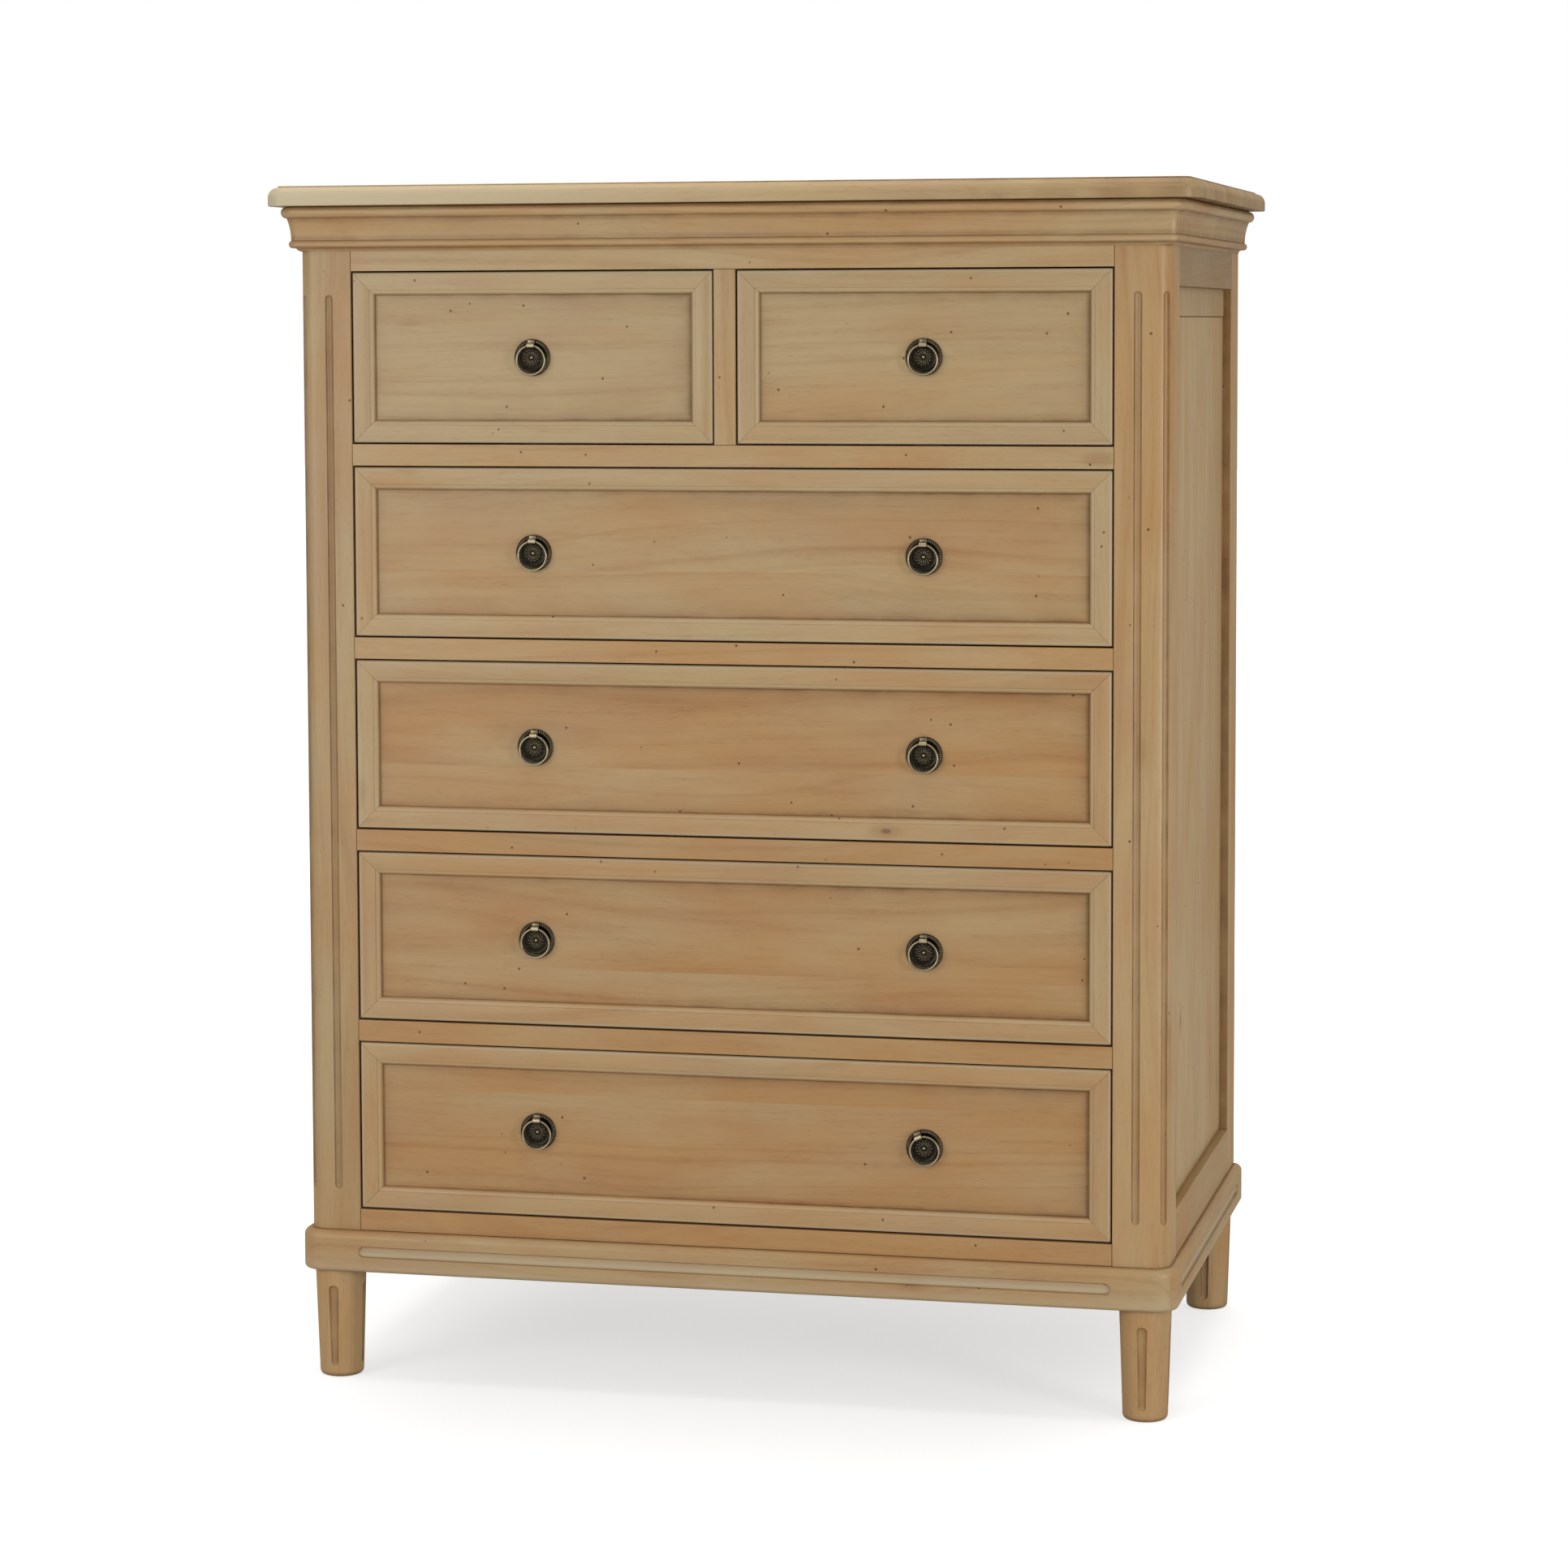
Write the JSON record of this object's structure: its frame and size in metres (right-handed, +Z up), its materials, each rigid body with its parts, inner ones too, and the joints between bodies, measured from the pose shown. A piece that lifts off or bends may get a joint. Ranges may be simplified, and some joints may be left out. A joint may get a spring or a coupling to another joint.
{
  "type": "tallboy",
  "caption": "Tall chest of drawers with framed drawer fronts, fluted corner posts, moulded cornice, fluted round legs and drop-ring pulls.",
  "frame": {"origin": "on the floor under the middle of the top board", "axes": "+Z up, the front faces -Y, +X to the right seen from the front"},
  "size_m": [1.086, 0.636, 1.4025],
  "materials": {
    "case_wood": "satin-waxed oak-like wood, pale honey with a grey-brown glaze in the hollows",
    "panel_wood": "satin-waxed oak-like wood, a little warmer towards the foot",
    "drawer_wood": "plain pale wood, unpolished",
    "back_wood": "plain board, unpolished",
    "plate_bronze": "dark antique bronze with rubbed high spots",
    "ring_brass": "antique brass, brushed and rubbed"
  },
  "bodies": {
    "case": {"top_board": "case_wood", "cornice": "case_wood", "post_front_left": "case_wood", "post_front_right": "case_wood", "post_rear_left": "case_wood", "post_rear_right": "case_wood", "side_top_rail_left": "case_wood", "side_top_rail_right": "case_wood", "side_bottom_rail_left": "case_wood", "side_bottom_rail_right": "case_wood", "side_panel_left": "panel_wood", "side_panel_right": "panel_wood", "back_panel": "back_wood", "top_rail": "case_wood", "centre_stile": "case_wood", "divider_1": "case_wood", "divider_2": "case_wood", "divider_3": "case_wood", "divider_4": "case_wood", "bottom_board": "case_wood", "plinth_front": "case_wood", "plinth_left": "case_wood", "plinth_right": "case_wood", "plinth_back": "case_wood", "leg_front_left": "case_wood", "leg_front_right": "case_wood", "leg_rear_left": "case_wood", "leg_rear_right": "case_wood"},
    "drawer_1_left": {"drawer_front_1_left": "panel_wood", "drawer_box_1_left": "drawer_wood", "pull_backplate_1_left": "plate_bronze"},
    "drawer_1_right": {"drawer_front_1_right": "panel_wood", "drawer_box_1_right": "drawer_wood", "pull_backplate_1_right": "plate_bronze"},
    "drawer_2": {"drawer_front_2": "panel_wood", "drawer_box_2": "drawer_wood", "pull_backplate_2_left": "plate_bronze", "pull_backplate_2_right": "plate_bronze"},
    "drawer_3": {"drawer_front_3": "panel_wood", "drawer_box_3": "drawer_wood", "pull_backplate_3_left": "plate_bronze", "pull_backplate_3_right": "plate_bronze"},
    "drawer_4": {"drawer_front_4": "panel_wood", "drawer_box_4": "drawer_wood", "pull_backplate_4_left": "plate_bronze", "pull_backplate_4_right": "plate_bronze"},
    "drawer_5": {"drawer_front_5": "panel_wood", "drawer_box_5": "drawer_wood", "pull_backplate_5_left": "plate_bronze", "pull_backplate_5_right": "plate_bronze"},
    "ring_1_left": {"pull_ring_1_left": "ring_brass"},
    "ring_1_right": {"pull_ring_1_right": "ring_brass"},
    "ring_2_left": {"pull_ring_2_left": "ring_brass"},
    "ring_2_right": {"pull_ring_2_right": "ring_brass"},
    "ring_3_left": {"pull_ring_3_left": "ring_brass"},
    "ring_3_right": {"pull_ring_3_right": "ring_brass"},
    "ring_4_left": {"pull_ring_4_left": "ring_brass"},
    "ring_4_right": {"pull_ring_4_right": "ring_brass"},
    "ring_5_left": {"pull_ring_5_left": "ring_brass"},
    "ring_5_right": {"pull_ring_5_right": "ring_brass"}
  },
  "joints": [
    {"name": "drawer_1_left_slide", "type": "slide", "parent": "case", "child": "drawer_1_left", "axis": [0, -1, 0], "range_m": [0, 0.36]},
    {"name": "ring_1_left_swing", "type": "hinge", "parent": "drawer_1_left", "child": "ring_1_left", "pos_m": [-0.22925, -0.2924, 1.2177], "axis": [-1, 0, 0], "range_deg": [0, 170]},
    {"name": "drawer_1_right_slide", "type": "slide", "parent": "case", "child": "drawer_1_right", "axis": [0, -1, 0], "range_m": [0, 0.36]},
    {"name": "ring_1_right_swing", "type": "hinge", "parent": "drawer_1_right", "child": "ring_1_right", "pos_m": [0.22925, -0.2924, 1.2177], "axis": [-1, 0, 0], "range_deg": [0, 170]},
    {"name": "drawer_2_slide", "type": "slide", "parent": "case", "child": "drawer_2", "axis": [0, -1, 0], "range_m": [0, 0.36]},
    {"name": "ring_2_left_swing", "type": "hinge", "parent": "drawer_2", "child": "ring_2_left", "pos_m": [-0.22925, -0.2924, 0.9927], "axis": [-1, 0, 0], "range_deg": [0, 170]},
    {"name": "ring_2_right_swing", "type": "hinge", "parent": "drawer_2", "child": "ring_2_right", "pos_m": [0.22925, -0.2924, 0.9927], "axis": [-1, 0, 0], "range_deg": [0, 170]},
    {"name": "drawer_3_slide", "type": "slide", "parent": "case", "child": "drawer_3", "axis": [0, -1, 0], "range_m": [0, 0.36]},
    {"name": "ring_3_left_swing", "type": "hinge", "parent": "drawer_3", "child": "ring_3_left", "pos_m": [-0.22925, -0.2924, 0.7677], "axis": [-1, 0, 0], "range_deg": [0, 170]},
    {"name": "ring_3_right_swing", "type": "hinge", "parent": "drawer_3", "child": "ring_3_right", "pos_m": [0.22925, -0.2924, 0.7677], "axis": [-1, 0, 0], "range_deg": [0, 170]},
    {"name": "drawer_4_slide", "type": "slide", "parent": "case", "child": "drawer_4", "axis": [0, -1, 0], "range_m": [0, 0.36]},
    {"name": "ring_4_left_swing", "type": "hinge", "parent": "drawer_4", "child": "ring_4_left", "pos_m": [-0.22925, -0.2924, 0.5427], "axis": [-1, 0, 0], "range_deg": [0, 170]},
    {"name": "ring_4_right_swing", "type": "hinge", "parent": "drawer_4", "child": "ring_4_right", "pos_m": [0.22925, -0.2924, 0.5427], "axis": [-1, 0, 0], "range_deg": [0, 170]},
    {"name": "drawer_5_slide", "type": "slide", "parent": "case", "child": "drawer_5", "axis": [0, -1, 0], "range_m": [0, 0.36]},
    {"name": "ring_5_left_swing", "type": "hinge", "parent": "drawer_5", "child": "ring_5_left", "pos_m": [-0.22925, -0.2924, 0.3177], "axis": [-1, 0, 0], "range_deg": [0, 170]},
    {"name": "ring_5_right_swing", "type": "hinge", "parent": "drawer_5", "child": "ring_5_right", "pos_m": [0.22346, -0.2924, 0.31642], "axis": [-0.9063, 0, -0.4226], "range_deg": [0, 170]}
  ]
}
